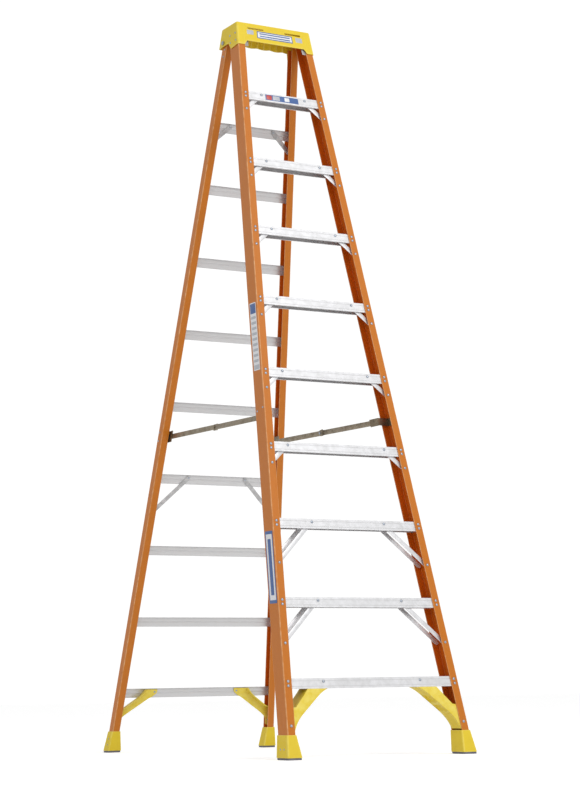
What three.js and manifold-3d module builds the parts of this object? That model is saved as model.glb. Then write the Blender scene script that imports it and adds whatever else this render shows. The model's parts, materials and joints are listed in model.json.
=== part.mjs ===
// A ten foot fibreglass step ladder, standing open.
// Millimetres, +Z up, +X to the right of someone facing the steps, +Y towards the rear frame.
// The origin is on the floor, under the middle of the ladder.
//
// Most pieces belong to a frame whose two rails lean and draw together with height. Such a piece is
// drawn upright, as it would be if the rails were vertical, with y measured back from the rails'
// front face, and leanFrame() then shears it into place. A flat tread stays level under that shear.

import * as THREE from 'three';
import { mergeVertices } from 'three/addons/utils/BufferGeometryUtils.js';
import Module from 'manifold-3d';

const wasm = await Module();
wasm.setup();

// Driving dimensions of the whole ladder.
const LADDER_LENGTH = 3048;            // along the front rail, floor to cap top
const LEAN = THREE.MathUtils.degToRad(14);
const TAPER = 0.0767;                  // how far each rail moves inward per unit of height
const FRONT_WIDTH = 790.3;             // over the front rails at the floor
const REAR_WIDTH = 783.8;              // over the rear rails at the floor
const BASE_SPREAD = 1545.4;            // front face of front rails to front face of rear rails
const GAP = 0.3;                       // air left between pieces that touch
const JOIN = 0.2;                      // overlap of shapes joined into one piece

// Rails, of channel section, open towards each other.
const FRONT_DEPTH = 71;
const REAR_DEPTH = 38;
const FLANGE_WIDTH = 32;
const RAIL_WALL = 3.6;
const RAIL_CORNER = 3;

// Steps and rear bars.
const STEP_COUNT = 9;
const STEP_SPACING = 304.8;            // along the rail
const FIRST_STEP_TOP = 287;
const STEP_HEIGHT = 37.5;
const STEP_SKIN = 2.2;
const STEP_LIP = 7;
const TREAD_RIBS = 7;
const FIRST_BAR_TOP = 262.7;
const LAST_BAR_SPACING = 262;          // the top rear bar sits closer to the one below it
const BAR_HEIGHT = 38;
const BAR_SKIN = 2.4;
const BAR_LIP = 7;

// Braces, measured inward from the rail's outer face and down from the tread's top.
const STRAP_THICK = 2.4;
const SHORT_STRAP = { width: 19, inward: 92, down: 83, pairs: [4, 5, 6, 7, 8] };
const LONG_STRAP = { width: 18, inward: 170, down: 168, pairs: [2, 3] };
const RIVET_RADIUS = 3.2;
const STEP_RIVET_DOWN = 14;
const RAIL_RIVET_INWARD = 17;

// Boots and pads.
const BOOT_HEIGHT = 80;
const PAD_THICK = 7;
const BOOT_SOLE = 10;
const BOOT_WALL = 4;
const BOOT_FLARE_SIDE = 15;
const BOOT_FLARE_DEPTH = 5;

// Cap, and the hinge inside it.
const CAP_HEIGHT = 108;
const CAP_RISE = 7;
const CAP_WALL = 3.6;
const CAP_DEPTH_TOP = 130;
const CAP_REAR_SLOPE = 0.25;
const CAP_CORNER = 7;
const HINGE_HEIGHT = 2900;
const REAR_RAIL_ABOVE_HINGE = 18;
const BOLT_RADIUS = 5;
const BOLT_HEAD_RADIUS = 8.5;
const BOLT_HEAD = 5;

// Spreader: two flat bars a side, joined by a pivot in the middle.
const SPREADER_X = 250.35;             // between the two bars, at the front pivot's height
const SPREADER_THICK = 3;
const SPREADER_HALF_HEIGHT = 10.5;
const FRONT_PIVOT_HEIGHT = 1284;
const FRONT_PIVOT_BEHIND = 36;         // behind the front rail
const REAR_PIVOT_HEIGHT = 1300;
const REAR_PIVOT_AHEAD = 9;            // ahead of the rear rail
const SPREADER_FRONT_LENGTH = 404.6;
const PIN_RADIUS = 4;
const PIN_HEAD_RADIUS = 4.8;
const PIN_HEAD = 2;
const BRACKET_THICK = 3;

// Values that follow from them.
const SLOPE = Math.tan(LEAN);
const CAP_TOP = LADDER_LENGTH * Math.cos(LEAN) + CAP_RISE;
const PITCH = STEP_SPACING * Math.cos(LEAN);
const FRONT = {
  half: FRONT_WIDTH / 2,
  depth: FRONT_DEPTH / Math.cos(LEAN),
  slope: SLOPE,
};
const REAR = {
  half: REAR_WIDTH / 2,
  depth: REAR_DEPTH / Math.cos(LEAN),
  slope: -SLOPE,
};
FRONT.face = -(BASE_SPREAD + REAR.depth) / 2;
REAR.face = FRONT.face + BASE_SPREAD;
const BOOT_TOP = PAD_THICK + BOOT_HEIGHT;

const faceAt = (frame, height) => frame.face + frame.slope * height;
const webAt = (frame, height) => frame.half - TAPER * height;
const stepTop = (number) => FIRST_STEP_TOP + (number - 1) * PITCH;

function barTop(number) {
  const regular = FIRST_BAR_TOP + (Math.min(number, STEP_COUNT - 1) - 1) * PITCH;
  return number < STEP_COUNT ? regular : regular + LAST_BAR_SPACING * Math.cos(LEAN);
}

// ---- solids ----

// A three.js geometry as a solid that can be cut and joined.
function toSolid(geometry) {
  const bare = geometry.clone();
  bare.deleteAttribute('normal');
  bare.deleteAttribute('uv');
  const merged = mergeVertices(bare, 1e-4);
  return new wasm.Manifold(new wasm.Mesh({
    numProp: 3,
    vertProperties: new Float32Array(merged.attributes.position.array),
    triVerts: new Uint32Array(merged.index.array),
  }));
}

function toGeometry(solid) {
  const mesh = solid.getMesh();
  const geometry = new THREE.BufferGeometry();
  geometry.setAttribute('position', new THREE.BufferAttribute(new Float32Array(mesh.vertProperties), 3));
  geometry.setIndex(new THREE.BufferAttribute(new Uint32Array(mesh.triVerts), 1));
  return geometry;
}

// Moves every corner of a geometry by a function that changes a vector in place.
function reshape(geometry, change) {
  const position = geometry.attributes.position;
  const corner = new THREE.Vector3();
  for (let i = 0; i < position.count; i += 1) {
    corner.fromBufferAttribute(position, i);
    change(corner);
    position.setXYZ(i, corner.x, corner.y, corner.z);
  }
  return geometry;
}

// Leans an upright piece back with its frame and draws it inward with height.
function leanFrame(frame, geometry) {
  return reshape(geometry, (corner) => {
    corner.x -= Math.sign(corner.x) * TAPER * corner.z;
    corner.y += faceAt(frame, corner.z);
  });
}

// The left-hand copy of a right-hand piece.
function mirrored(geometry) {
  const indexed = geometry.index ? geometry.clone() : mergeVertices(geometry.clone());
  reshape(indexed, (corner) => {
    corner.x = -corner.x;
  });
  const index = indexed.index;
  for (let i = 0; i < index.count; i += 3) {
    const first = index.getX(i);
    index.setX(i, index.getX(i + 1));
    index.setX(i + 1, first);
  }
  return indexed;
}

function outline(points) {
  return new THREE.Shape(points.map(([a, b]) => new THREE.Vector2(a, b)));
}

function prism(shape, length) {
  return new THREE.ExtrudeGeometry(shape, { depth: length, bevelEnabled: false, curveSegments: 4 });
}

// An outline in (x, y) raised from one height to another.
function upPrism(shape, bottom, top) {
  return prism(shape, top - bottom).translate(0, 0, bottom);
}

// An outline in (y, z) run along x.
function acrossPrism(shape, from, to) {
  const turn = new THREE.Matrix4().makeBasis(
    new THREE.Vector3(0, 1, 0), new THREE.Vector3(0, 0, 1), new THREE.Vector3(1, 0, 0));
  return prism(shape, to - from).applyMatrix4(turn).translate(from, 0, 0);
}

// An outline in (x, z) run along y.
function backPrism(shape, from, to) {
  const turn = new THREE.Matrix4().makeBasis(
    new THREE.Vector3(1, 0, 0), new THREE.Vector3(0, 0, 1), new THREE.Vector3(0, -1, 0));
  return prism(shape, to - from).applyMatrix4(turn).translate(0, to, 0);
}

function pin(radius, from, to, y, z) {
  const bar = new THREE.CylinderGeometry(radius, radius, to - from, 16);
  return bar.rotateZ(Math.PI / 2).translate((from + to) / 2, y, z);
}

function box(x0, x1, y0, y1, z0, z1) {
  const block = new THREE.BoxGeometry(x1 - x0, y1 - y0, z1 - z0);
  return block.translate((x0 + x1) / 2, (y0 + y1) / 2, (z0 + z1) / 2);
}

function roundedBlock(x0, x1, y0, y1, radius) {
  const shape = new THREE.Shape();
  shape.absarc(x1 - radius, y1 - radius, radius, 0, Math.PI / 2);
  shape.absarc(x0 + radius, y1 - radius, radius, Math.PI / 2, Math.PI);
  shape.absarc(x0 + radius, y0 + radius, radius, Math.PI, Math.PI * 1.5);
  shape.absarc(x1 - radius, y0 + radius, radius, Math.PI * 1.5, Math.PI * 2);
  return shape;
}

// ---- materials and meshes ----

const LOOKS = {
  fibreglass: { color: 0xc8722c, roughness: 0.42, metalness: 0 },
  aluminium: { color: 0xcfd0d2, roughness: 0.38, metalness: 0.9 },
  yellow_plastic: { color: 0xf0da4e, roughness: 0.45, metalness: 0 },
  rubber: { color: 0x6e6e7d, roughness: 0.9, metalness: 0 },
  bronzed_steel: { color: 0x7c6e5a, roughness: 0.45, metalness: 0.8 },
  zinc_steel: { color: 0xb9bcc0, roughness: 0.35, metalness: 0.9 },
};

function addPiece(group, name, geometry, look) {
  const mesh = new THREE.Mesh(geometry, new THREE.MeshStandardMaterial(LOOKS[look]));
  mesh.name = name;
  group.add(mesh);
  return mesh;
}

// Adds the right-hand piece and its left-hand mirror image.
function addPair(group, name, geometry, look) {
  addPiece(group, `${name}_right`, geometry, look);
  addPiece(group, `${name}_left`, mirrored(geometry), look);
}

// ---- rails ----

// The channel's outline, for the right-hand rail, grown by `grow` on every face.
function channel(frame, grow) {
  const outer = frame.half + grow;
  const lip = frame.half - FLANGE_WIDTH - grow;
  const inner = frame.half - RAIL_WALL - grow;
  const back = frame.depth + grow;
  const shape = new THREE.Shape();
  shape.moveTo(lip, -grow);
  shape.lineTo(outer - RAIL_CORNER, -grow);
  shape.absarc(outer - RAIL_CORNER, RAIL_CORNER - grow, RAIL_CORNER, -Math.PI / 2, 0);
  shape.absarc(outer - RAIL_CORNER, back - RAIL_CORNER, RAIL_CORNER, 0, Math.PI / 2);
  shape.lineTo(lip, back);
  shape.lineTo(lip, frame.depth - RAIL_WALL - grow);
  shape.lineTo(inner, frame.depth - RAIL_WALL - grow);
  shape.lineTo(inner, RAIL_WALL + grow);
  shape.lineTo(lip, RAIL_WALL + grow);
  shape.closePath();
  return shape;
}

const railFoot = PAD_THICK + BOOT_SOLE;
const hingeY = faceAt(REAR, HINGE_HEIGHT) + REAR.depth / 2;

function frontRail() {
  const top = CAP_TOP - CAP_WALL - 1;
  return leanFrame(FRONT, upPrism(channel(FRONT, 0), railFoot + GAP, top));
}

function rearRail() {
  const rail = leanFrame(REAR, upPrism(channel(REAR, 0), railFoot + GAP, HINGE_HEIGHT + REAR_RAIL_ABOVE_HINGE));
  const web = webAt(REAR, HINGE_HEIGHT);
  const hole = pin(BOLT_RADIUS + GAP, web - 2 * RAIL_WALL, web + RAIL_WALL, hingeY, HINGE_HEIGHT);
  return toGeometry(toSolid(rail).subtract(toSolid(hole)));
}

// ---- steps and rear bars ----

const stepFront = RAIL_WALL + GAP;
const stepBack = FRONT.depth - RAIL_WALL - GAP;

// The step's cross section, in (y, z): a ribbed tread with a skirt and a small lip front and back.
function stepSection() {
  const points = [[stepFront, -STEP_HEIGHT], [stepFront + STEP_LIP, -STEP_HEIGHT]];
  points.push([stepFront + STEP_LIP, -STEP_HEIGHT + STEP_SKIN], [stepFront + STEP_SKIN, -STEP_HEIGHT + STEP_SKIN]);
  points.push([stepFront + STEP_SKIN, -1.6 * STEP_SKIN], [stepBack - STEP_SKIN, -1.6 * STEP_SKIN]);
  points.push([stepBack - STEP_SKIN, -STEP_HEIGHT + STEP_SKIN], [stepBack - STEP_LIP, -STEP_HEIGHT + STEP_SKIN]);
  points.push([stepBack - STEP_LIP, -STEP_HEIGHT], [stepBack, -STEP_HEIGHT]);
  const ribPitch = (stepBack - stepFront) / (TREAD_RIBS * 2 - 1);
  const ribHeight = 1.1;
  for (let rib = TREAD_RIBS - 1; rib >= 0; rib -= 1) {
    const near = stepFront + rib * 2 * ribPitch;
    points.push([near + ribPitch, 0], [near, 0]);
    if (rib > 0) {
      points.push([near, -ribHeight], [near - ribPitch, -ribHeight]);
    }
  }
  return outline(points);
}


const barBack = REAR.depth - RAIL_WALL - GAP;
const barFace = barBack - BAR_SKIN;

// The rear bar's cross section, in (y, z): a flat web with a forward lip on top and one stiffening rib.
function barSection() {
  const ribTop = -BAR_HEIGHT * 0.42;
  const ribFoot = -BAR_HEIGHT * 0.58;
  const ribOut = 1.2;
  return outline([
    [barBack, -BAR_HEIGHT], [barBack, 0], [barFace - BAR_LIP, 0], [barFace - BAR_LIP, -BAR_SKIN],
    [barFace, -BAR_SKIN], [barFace, ribTop], [barFace - ribOut, ribTop - ribOut],
    [barFace - ribOut, ribFoot + ribOut], [barFace, ribFoot], [barFace, -BAR_HEIGHT],
  ]);
}

// ---- braces ----

// A right-hand strap with round ends in (x, z), from a step or bar down to the rail's flange.
function strap(frame, top, size, from, to) {
  const high = new THREE.Vector2(frame.half - size.inward, top - STEP_RIVET_DOWN);
  const low = new THREE.Vector2(frame.half - RAIL_RIVET_INWARD, top - size.down);
  const along = Math.atan2(low.y - high.y, low.x - high.x);
  const radius = size.width / 2;
  const shape = new THREE.Shape();
  shape.absarc(low.x, low.y, Math.min(radius, RAIL_RIVET_INWARD - RAIL_WALL - 1), along - Math.PI / 2, along + Math.PI / 2);
  shape.absarc(high.x, high.y, radius, along + Math.PI / 2, along + Math.PI * 1.5);
  shape.closePath();
  return backPrism(shape, from, to);
}

// A short round boss along y at a strap's lower rivet.
function boss(frame, top, size, from, to) {
  const bar = new THREE.CylinderGeometry(RIVET_RADIUS * 1.5, RIVET_RADIUS * 1.5, to - from, 12);
  return bar.translate(frame.half - RAIL_RIVET_INWARD, (from + to) / 2, top - size.down);
}

const strapFront = stepFront + STEP_LIP + GAP;
const strapRear = stepBack - STEP_LIP - GAP - STRAP_THICK;

// One strap behind the step's front skirt, with a boss that meets the front flange. `forward` sets
// its front face ahead of the usual place, so that it can be joined to the step.
function frontStrap(top, size, forward = 0) {
  const flat = toSolid(strap(FRONT, top, size, strapFront - forward, strapFront + STRAP_THICK));
  return flat.add(toSolid(boss(FRONT, top, size, stepFront, strapFront + 1)));
}

// A step. The top one's knee braces are riveted on and drawn as one piece with it.
function step(number) {
  const end = FRONT.half - RAIL_WALL - GAP;
  const top = stepTop(number);
  let solid = toSolid(acrossPrism(stepSection(), -end, end).translate(0, 0, top));
  if (number === STEP_COUNT) {
    const right = frontStrap(top, SHORT_STRAP, GAP + JOIN);
    solid = solid.add(right).add(toSolid(mirrored(toGeometry(right))));
  }
  return leanFrame(FRONT, toGeometry(solid));
}

function shortBrace(number) {
  return leanFrame(FRONT, toGeometry(frontStrap(stepTop(number), SHORT_STRAP)));
}

// Front and rear straps, held apart by a rod between their lower rivets.
function longBrace(number) {
  const top = stepTop(number);
  const rear = toSolid(strap(FRONT, top, LONG_STRAP, strapRear, strapRear + STRAP_THICK));
  const through = toSolid(boss(FRONT, top, LONG_STRAP, strapFront + 1, stepBack));
  return leanFrame(FRONT, toGeometry(frontStrap(top, LONG_STRAP).add(rear).add(through)));
}

// The moulded brace below the first step: a deep curved band with hollows in its underside.
function archBrace() {
  const top = FIRST_STEP_TOP - STEP_HEIGHT - GAP;
  const web = FRONT.half - RAIL_WALL - GAP;
  const lip = FRONT.half - FLANGE_WIDTH;
  const foot = BOOT_TOP + 5;
  const shape = new THREE.Shape();
  shape.moveTo(web, foot);
  shape.lineTo(web, top - 67);
  shape.lineTo(lip - 12, top - 65);
  shape.lineTo(lip - 45, top - 27);
  shape.lineTo(lip - 67, top);
  shape.lineTo(lip - 150, top);
  shape.quadraticCurveTo(lip - 128, top - 9, lip - 108, top - 27);
  shape.lineTo(lip - 41, top - 89);
  shape.quadraticCurveTo(lip - 8, top - 120, lip, foot);
  shape.closePath();
  const band = toSolid(backPrism(shape, stepFront, stepBack));
  const rim = 5;
  const hollowHigh = outline([
    [lip - 96, top - 46], [lip - 82, top - 22], [lip - 64, top - 38], [lip - 78, top - 62],
  ]);
  const hollowLow = outline([
    [lip - 66, top - 74], [lip - 52, top - 49], [lip - 24, top - 74], [lip - 36, top - 100],
  ]);
  const cuts = [hollowHigh, hollowLow].map((shape_) => toSolid(backPrism(shape_, stepFront + rim, stepBack - rim)));
  return leanFrame(FRONT, toGeometry(band.subtract(cuts[0]).subtract(cuts[1])));
}

// The flat yellow brace below the first rear bar, with a turned lip along its upper edge.
function rearCornerBrace() {
  const top = FIRST_BAR_TOP;
  const web = REAR.half - RAIL_WALL - GAP;
  const lip = REAR.half - FLANGE_WIDTH;
  const back = barFace - 1.2 - GAP;
  const under = top - BAR_SKIN - GAP - 1;
  const upper = [[lip - 158, under], [lip - 98, under], [lip - 78, top - 30], [lip - 6, top - 82], [web, top - 90]];
  const lower = [[web, top - 165], [lip + 4, top - 165], [lip + 2, top - 132], [lip - 20, top - 112],
    [lip - 122, top - 42], [lip - 136, top - 36], [lip - 156, top - 20]];
  const plate = toSolid(backPrism(outline(upper.concat(lower)), back - 3, back));
  const ridge = upper.slice(1);
  const inset = 3.4;
  const below = ridge.map(([x, z]) => [x - inset * 0.5, z - inset]).reverse();
  const rib = toSolid(backPrism(outline(ridge.concat(below)), RAIL_WALL + 2, back - 1));
  return leanFrame(REAR, toGeometry(plate.add(rib)));
}

// A rear bar. Two of them carry straps, which are riveted on and drawn as one piece with the bar.
function rearBar(number, straps) {
  const end = REAR.half - RAIL_WALL - GAP;
  const top = barTop(number);
  let solid = toSolid(acrossPrism(barSection(), -end, end).translate(0, 0, top));
  if (straps) {
    const right = toSolid(strap(REAR, top, straps, barFace - 1 - STRAP_THICK, barFace - 1))
      .add(toSolid(boss(REAR, top, straps, barFace - 2, barBack)));
    const left = toSolid(mirrored(toGeometry(right)));
    solid = solid.add(right).add(left);
  }
  return leanFrame(REAR, toGeometry(solid));
}

// ---- boots and pads ----

function boot(frame) {
  const grow = BOOT_WALL;
  const lip = frame.half - FLANGE_WIDTH - grow;
  const block = upPrism(
    roundedBlock(lip, frame.half + grow, -grow * 0.6, frame.depth + grow * 0.6, RAIL_CORNER),
    PAD_THICK, BOOT_TOP);
  const middleY = frame.depth / 2;
  reshape(block, (corner) => {
    const low = (BOOT_TOP - corner.z) / BOOT_HEIGHT;
    corner.x += corner.x > frame.half - FLANGE_WIDTH / 2 ? BOOT_FLARE_SIDE * 0.35 * low : -BOOT_FLARE_SIDE * low;
    corner.y += Math.sign(corner.y - middleY) * BOOT_FLARE_DEPTH * low;
  });
  const pocket = upPrism(channel(frame, GAP), railFoot, BOOT_TOP + 1);
  return toSolid(leanFrame(frame, block)).subtract(toSolid(leanFrame(frame, pocket)));
}

function pad(frame) {
  const inset = 2;
  const outer = frame.half + BOOT_WALL + BOOT_FLARE_SIDE * 0.35 - inset;
  const inner = frame.half - FLANGE_WIDTH - BOOT_WALL - BOOT_FLARE_SIDE + inset;
  const front = -BOOT_WALL * 0.6 - BOOT_FLARE_DEPTH + inset;
  const back = frame.depth - front;
  return leanFrame(frame, upPrism(roundedBlock(inner, outer, front, back, RAIL_CORNER), 0, PAD_THICK - GAP));
}

// ---- cap ----

// A block with rounded corners that narrows with height, set in from the cap's outer face.
function capBlock(inset, bottom, top) {
  const base = CAP_TOP - CAP_HEIGHT;
  const side = webAt(FRONT, base) + CAP_WALL + 2 * GAP - inset;
  const front = faceAt(FRONT, base) - CAP_WALL - GAP + inset;
  const rearTop = faceAt(FRONT, CAP_TOP) - CAP_WALL - GAP + CAP_DEPTH_TOP - inset;
  const rear = rearTop + CAP_REAR_SLOPE * CAP_HEIGHT;
  const shape = roundedBlock(-side, side, front, rear, Math.max(CAP_CORNER - inset, 1));
  const middle = (front + rear) / 2;
  return toSolid(reshape(upPrism(shape, bottom, top), (corner) => {
    const rise = corner.z - base;
    corner.x -= Math.sign(corner.x) * TAPER * rise;
    corner.y += (corner.y < middle ? SLOPE : -CAP_REAR_SLOPE) * rise;
  }));
}

function cap() {
  const base = CAP_TOP - CAP_HEIGHT;
  const far = 300;
  let shell = capBlock(0, base, CAP_TOP).subtract(capBlock(CAP_WALL, base - 1, CAP_TOP - CAP_WALL));
  const frontFace = faceAt(FRONT, base);
  const frontOpening = outline([[-148, base - 5], [-135, base + 26], [135, base + 26], [148, base - 5]]);
  const rearOpening = outline([[-150, base - 5], [-150, base + 58], [150, base + 58], [150, base - 5]]);
  const sideOpening = outline([
    [-far, base - 5], [-far, base + 12], [frontFace - 5, base + 9], [-26, base], [1, base + 24],
    [91, base + 18], [far, base + 18], [far, base - 5],
  ]);
  shell = shell.subtract(toSolid(backPrism(frontOpening, -far, -20)));
  shell = shell.subtract(toSolid(backPrism(rearOpening, 40, far)));
  shell = shell.subtract(toSolid(acrossPrism(sideOpening, -far, far)));
  for (const side of [-1, 1]) {
    const slotHeight = CAP_TOP - 24;
    const slot = box(-37, 37, -far, -40, slotHeight - 3, slotHeight + 3).translate(side * 87, 0, 0);
    shell = shell.subtract(toSolid(slot));
  }
  const reach = webAt(FRONT, HINGE_HEIGHT) + 4 * CAP_WALL;
  const bore = pin(BOLT_RADIUS + GAP, -reach, reach, hingeY, HINGE_HEIGHT);
  return toGeometry(shell.subtract(toSolid(bore)));
}

// The hinge bolt: a round head outside the cap, the shank, and a nut inside the rear rail.
function hingeBolt() {
  const wallOut = webAt(FRONT, HINGE_HEIGHT) + CAP_WALL + 2 * GAP;
  const slack = TAPER * BOLT_HEAD_RADIUS + GAP;
  const head = pin(BOLT_HEAD_RADIUS, wallOut + slack, wallOut + slack + BOLT_HEAD, hingeY, HINGE_HEIGHT);
  const inner = webAt(REAR, HINGE_HEIGHT) - RAIL_WALL;
  const shank = pin(BOLT_RADIUS, inner - slack - BOLT_HEAD, wallOut + slack + 1, hingeY, HINGE_HEIGHT);
  const nut = pin(BOLT_HEAD_RADIUS, inner - slack - BOLT_HEAD, inner - slack, hingeY, HINGE_HEIGHT);
  return toGeometry(toSolid(head).add(toSolid(shank)).add(toSolid(nut)));
}

// ---- spreader ----

const frontPivot = new THREE.Vector2(
  faceAt(FRONT, FRONT_PIVOT_HEIGHT) + FRONT.depth + FRONT_PIVOT_BEHIND, FRONT_PIVOT_HEIGHT);
const rearPivot = new THREE.Vector2(faceAt(REAR, REAR_PIVOT_HEIGHT) - REAR_PIVOT_AHEAD, REAR_PIVOT_HEIGHT);
const spreaderSpan = frontPivot.distanceTo(rearPivot);
const spreaderAngle = Math.atan2(rearPivot.y - frontPivot.y, rearPivot.x - frontPivot.x);

// The spreader folds up beside the rails, so its plane draws inward with height as they do.
const spreaderTilt = -Math.atan(TAPER);

function betweenBars(height) {
  return SPREADER_X - TAPER * (height - FRONT_PIVOT_HEIGHT);
}

// Turns a geometry about the line along y through (x, z), into the spreader's plane.
function tilt(geometry, x, z) {
  return geometry.translate(-x, 0, -z).rotateY(spreaderTilt).translate(x, 0, z);
}

// A flat bar with round ends, bored at its pivot, run from the pivot by `length` towards the other one.
function spreaderBar(length, x0) {
  const radius = SPREADER_HALF_HEIGHT;
  const ends = [Math.min(0, length), Math.max(0, length)];
  const shape = new THREE.Shape();
  shape.absarc(ends[1], 0, radius, -Math.PI / 2, Math.PI / 2);
  shape.absarc(ends[0], 0, radius, Math.PI / 2, Math.PI * 1.5);
  shape.closePath();
  const blank = toSolid(acrossPrism(shape, x0, x0 + SPREADER_THICK));
  const bore = toSolid(pin(PIN_RADIUS + GAP, x0 - 1, x0 + SPREADER_THICK + 1, 0, 0));
  const bar = toGeometry(blank.subtract(bore)).rotateX(spreaderAngle);
  return tilt(bar, x0 + SPREADER_THICK / 2, 0);
}

// A bent plate riveted inside a rail's channel, reaching out to the pivot, with the pivot pin on it.
// `plan` is its outline in (x, y) at the pivot's height, y from the rail's front face.
function pivotBracket(frame, plan, height, pivot, pinFrom, pinTo, headFrom) {
  const plate = upPrism(outline(plan), pivot.y - height / 2, pivot.y + height / 2);
  reshape(plate, (corner) => {
    corner.x -= TAPER * (corner.z - pivot.y);
    corner.y += faceAt(frame, corner.z);
  });
  const middle = (pinFrom + pinTo) / 2;
  const shank = tilt(pin(PIN_RADIUS, pinFrom, pinTo, pivot.x, pivot.y), middle, pivot.y);
  const head = tilt(pin(PIN_HEAD_RADIUS, headFrom, headFrom + PIN_HEAD, pivot.x, pivot.y), middle, pivot.y);
  return toGeometry(toSolid(plate).add(toSolid(shank)).add(toSolid(head)));
}

// The front bracket's plate lies inboard of both bars.
function frontBracket() {
  const between = betweenBars(FRONT_PIVOT_HEIGHT);
  const plateX = between - GAP / 2 - SPREADER_THICK - GAP - BRACKET_THICK;
  const web = webAt(FRONT, FRONT_PIVOT_HEIGHT) - RAIL_WALL - GAP;
  const reach = FRONT.depth + FRONT_PIVOT_BEHIND + 12;
  const turn = FRONT.depth - RAIL_WALL - 12;
  const plan = [
    [web, 9], [web, turn + BRACKET_THICK], [plateX + BRACKET_THICK, turn + BRACKET_THICK],
    [plateX + BRACKET_THICK, reach], [plateX, reach], [plateX, turn], [web - BRACKET_THICK, turn],
    [web - BRACKET_THICK, 9],
  ];
  const headFrom = between - GAP / 2 + GAP;
  return pivotBracket(FRONT, plan, 30, frontPivot, plateX + 1, headFrom + 1, headFrom);
}

// The rear bracket's plate lies outboard of both bars.
function rearBracket() {
  const between = betweenBars(REAR_PIVOT_HEIGHT);
  const plateX = between + GAP / 2 + SPREADER_THICK + GAP;
  const web = webAt(REAR, REAR_PIVOT_HEIGHT) - RAIL_WALL - GAP;
  const turn = 17;
  const back = REAR.depth - RAIL_WALL - 2;
  const front = -REAR_PIVOT_AHEAD - 10;
  const plan = [
    [web, turn], [web, back], [web - BRACKET_THICK, back], [web - BRACKET_THICK, turn + BRACKET_THICK],
    [plateX, turn + BRACKET_THICK], [plateX, front], [plateX + BRACKET_THICK, front],
    [plateX + BRACKET_THICK, turn],
  ];
  const headFrom = between + GAP / 2 - GAP - PIN_HEAD;
  return pivotBracket(REAR, plan, 46, rearPivot, headFrom + 1, plateX + 1, headFrom);
}

// ---- the assembly ----

const ladder = new THREE.Group();
const frontFrame = new THREE.Group();
const rearFrame = new THREE.Group();
ladder.add(frontFrame, rearFrame);

addPiece(frontFrame, 'top_cap', cap(), 'yellow_plastic');
addPair(frontFrame, 'front_rail', frontRail(), 'fibreglass');
for (let number = 1; number <= STEP_COUNT; number += 1) {
  addPiece(frontFrame, `step_${number}`, step(number), 'aluminium');
}
addPair(frontFrame, 'arch_brace', archBrace(), 'yellow_plastic');
for (const number of LONG_STRAP.pairs) {
  addPair(frontFrame, `long_knee_brace_${number}`, longBrace(number), 'aluminium');
}
for (const number of SHORT_STRAP.pairs) {
  addPair(frontFrame, `short_knee_brace_${number}`, shortBrace(number), 'aluminium');
}
addPair(frontFrame, 'front_boot', toGeometry(boot(FRONT)), 'yellow_plastic');
addPair(frontFrame, 'front_foot_pad', pad(FRONT), 'rubber');
addPair(frontFrame, 'hinge_bolt', hingeBolt(), 'zinc_steel');
addPair(frontFrame, 'spreader_front_bracket', frontBracket(), 'bronzed_steel');

addPair(rearFrame, 'rear_rail', rearRail(), 'fibreglass');
const barStraps = { 4: LONG_STRAP, 9: SHORT_STRAP };
for (let number = 1; number <= STEP_COUNT; number += 1) {
  addPiece(rearFrame, `rear_bar_${number}`, rearBar(number, barStraps[number]), 'aluminium');
}
addPair(rearFrame, 'rear_corner_brace', rearCornerBrace(), 'yellow_plastic');
addPair(rearFrame, 'rear_boot', toGeometry(boot(REAR)), 'yellow_plastic');
addPair(rearFrame, 'rear_foot_pad', pad(REAR), 'rubber');
addPair(rearFrame, 'spreader_rear_bracket', rearBracket(), 'bronzed_steel');

// The spreader's bars lie along the line between the two pivots and stop at its middle joint.
const frontBars = new THREE.Group();
frontBars.position.set(0, frontPivot.x, frontPivot.y);
const frontBarX = betweenBars(FRONT_PIVOT_HEIGHT) - GAP / 2 - SPREADER_THICK;
addPair(frontBars, 'spreader_front_bar', spreaderBar(SPREADER_FRONT_LENGTH, frontBarX), 'bronzed_steel');

const rearBars = new THREE.Group();
rearBars.position.set(0, rearPivot.x, rearPivot.y);
const rearBarX = betweenBars(REAR_PIVOT_HEIGHT) + GAP / 2;
const rearBarLength = spreaderSpan - SPREADER_FRONT_LENGTH;
addPair(rearBars, 'spreader_rear_bar', spreaderBar(-rearBarLength, rearBarX), 'bronzed_steel');
ladder.add(frontBars, rearBars);

export default ladder;
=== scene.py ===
"""A ten foot fibreglass step ladder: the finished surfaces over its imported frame.

Shapes are worked out in millimetres and laid into meshes in metres. Most pieces belong to a frame whose
rails lean and draw together with height, so they are drawn upright first and then leaned into place.
"""

import json

import bpy
import numpy as np
from mathutils import Matrix, Vector


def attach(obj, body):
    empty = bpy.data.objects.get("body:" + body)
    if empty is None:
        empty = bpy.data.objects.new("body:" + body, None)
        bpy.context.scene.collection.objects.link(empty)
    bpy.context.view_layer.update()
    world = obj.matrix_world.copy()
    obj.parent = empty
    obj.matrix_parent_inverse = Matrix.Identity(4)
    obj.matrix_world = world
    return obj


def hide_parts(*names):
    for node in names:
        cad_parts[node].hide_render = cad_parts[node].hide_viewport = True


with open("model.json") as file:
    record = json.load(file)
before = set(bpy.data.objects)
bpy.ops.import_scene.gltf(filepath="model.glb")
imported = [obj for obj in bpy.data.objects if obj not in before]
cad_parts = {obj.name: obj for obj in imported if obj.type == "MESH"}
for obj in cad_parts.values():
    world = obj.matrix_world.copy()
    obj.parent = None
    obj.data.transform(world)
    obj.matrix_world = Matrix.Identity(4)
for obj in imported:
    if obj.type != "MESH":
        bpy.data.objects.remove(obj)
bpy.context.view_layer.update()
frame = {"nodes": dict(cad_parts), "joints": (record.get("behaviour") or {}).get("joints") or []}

# ---- driving dimensions, in millimetres ----

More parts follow.
